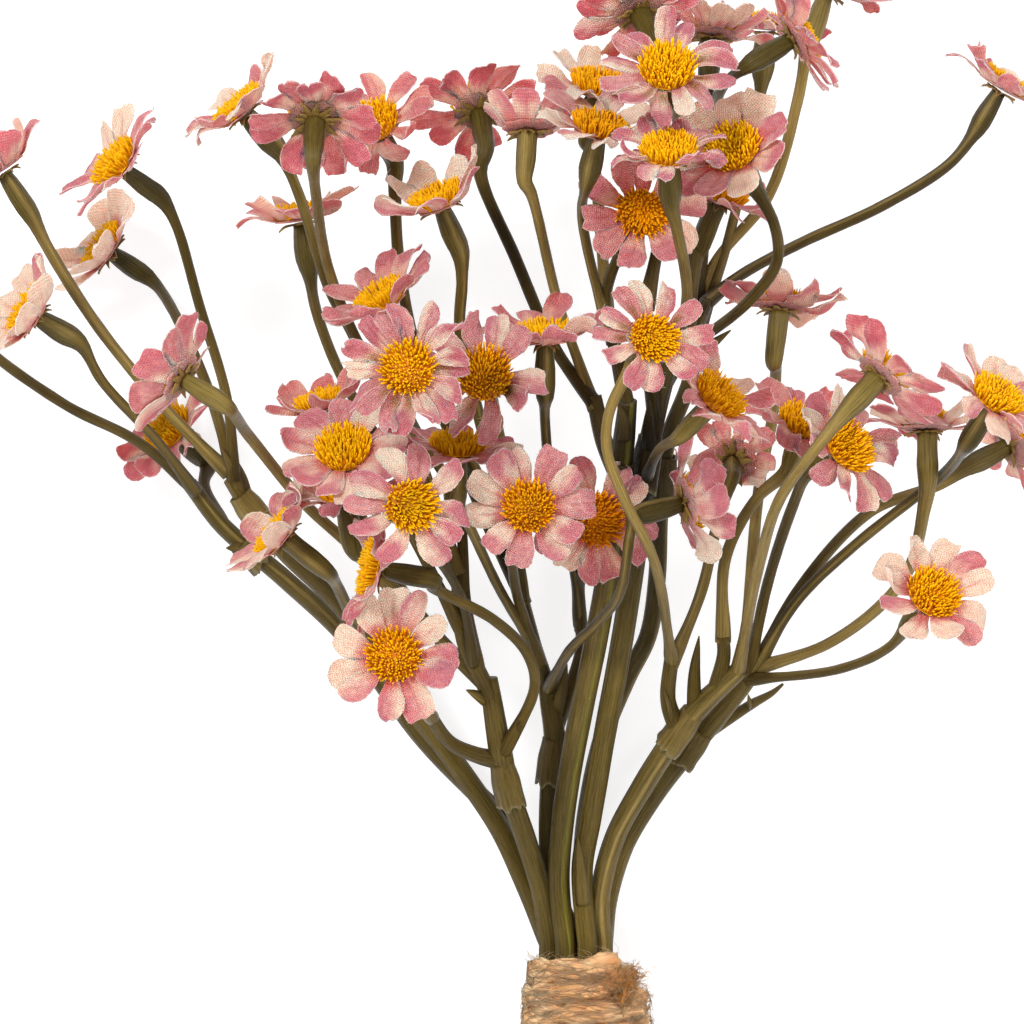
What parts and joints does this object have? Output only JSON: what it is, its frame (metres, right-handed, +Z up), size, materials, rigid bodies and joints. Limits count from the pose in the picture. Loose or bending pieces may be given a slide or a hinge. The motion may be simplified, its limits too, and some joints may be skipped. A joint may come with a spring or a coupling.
{
  "type": "bunch of daisies",
  "caption": "Bunch of fabric daisies on branching moulded stems, gathered at the neck by a jute tie and lying on its side.",
  "frame": {"origin": "on the surface the bunch lies on, below the middle of its bounding box", "axes": "+Z up from the surface, +Y along the bunch from the cut stem ends to the flowers, +X to the right as seen from above"},
  "size_m": [0.2437, 0.295, 0.1168],
  "materials": {
    "petals": "matt woven cloth",
    "discs": "bristly moulded plastic",
    "stems": "satin moulded plastic",
    "twine": "twisted jute"
  },
  "bodies": {
    "root": {"daisies_k24_k24b": "petals", "daisies_k25_k26": "petals", "daisies_n1_n2": "petals", "daisy_a": "petals", "daisy_aa": "petals", "daisy_ab": "petals", "daisy_ac": "petals", "daisy_ad": "petals", "daisy_ae": "petals", "daisy_af": "petals", "daisy_b": "petals", "daisy_ba": "petals", "daisy_bb": "petals", "daisy_c": "petals", "daisy_d": "petals", "daisy_e": "petals", "daisy_f": "petals", "daisy_g": "petals", "daisy_h": "petals", "daisy_i": "petals", "daisy_j": "petals", "daisy_k": "petals", "daisy_k14": "petals", "daisy_k15": "petals", "daisy_k18": "petals", "daisy_k19": "petals", "daisy_k2": "petals", "daisy_k20": "petals", "daisy_k21": "petals", "daisy_k22": "petals", "daisy_k23": "petals", "daisy_l": "petals", "daisy_m": "petals", "daisy_o": "petals", "daisy_p": "petals", "daisy_q": "petals", "daisy_r": "petals", "daisy_s": "petals", "daisy_t": "petals", "daisy_ta": "petals", "daisy_tb": "petals", "daisy_tc": "petals", "daisy_td": "petals", "daisy_te": "petals", "daisy_u": "petals", "daisy_v": "petals", "daisy_w": "petals", "daisy_x": "petals", "daisy_y": "petals", "daisy_z": "petals", "jute_tie": "twine", "stem_centre_left": "stems", "stem_centre_rear": "stems", "stem_centre_right": "stems", "stem_far_left": "stems", "stem_left_front": "stems", "stem_low_left": "stems", "stem_middle": "stems", "stem_right_front": "stems", "stem_right_rear": "stems"}
  },
  "joints": []
}
